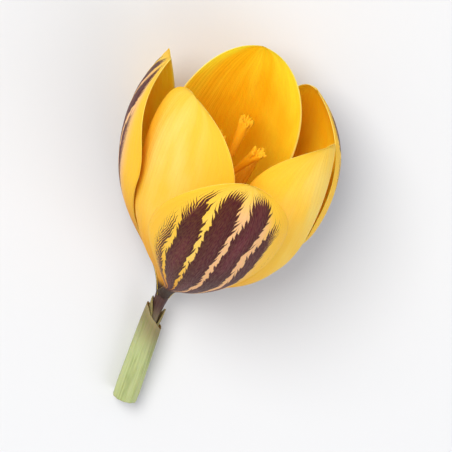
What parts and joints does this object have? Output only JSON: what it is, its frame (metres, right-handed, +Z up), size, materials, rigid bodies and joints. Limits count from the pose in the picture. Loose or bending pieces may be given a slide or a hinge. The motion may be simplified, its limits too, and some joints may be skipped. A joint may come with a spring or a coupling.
{
  "type": "crocus flower",
  "caption": "Open yellow crocus flower with dark striped outer petals, stamens, style and a short sheathed stem, picked and lying on its side",
  "frame": {"origin": "the centre of the flower's footprint box, on the surface it lies on", "axes": "+Z up, +Y from the cut end of the stem towards the tips of the petals, +X to the flower's right as seen from above with the stem towards the viewer"},
  "size_m": [0.0318, 0.0584, 0.0359],
  "materials": {
    "striped_petal": "satin",
    "plain_petal": "satin",
    "flower_tube": "satin",
    "sheath_leaf": "satin",
    "papery_bract": "matte",
    "pollen": "matte",
    "stigma": "satin"
  },
  "bodies": {
    "root": {"outer_tepal_front": "striped_petal", "outer_tepal_left": "striped_petal", "outer_tepal_right": "striped_petal", "inner_tepal_left": "plain_petal", "inner_tepal_right": "plain_petal", "inner_tepal_back": "plain_petal", "perianth_tube": "flower_tube", "sheath": "sheath_leaf", "bract": "papery_bract", "bracteole": "papery_bract", "stamen_front": "pollen", "stamen_left": "pollen", "stamen_right": "pollen", "style": "stigma"}
  },
  "joints": []
}
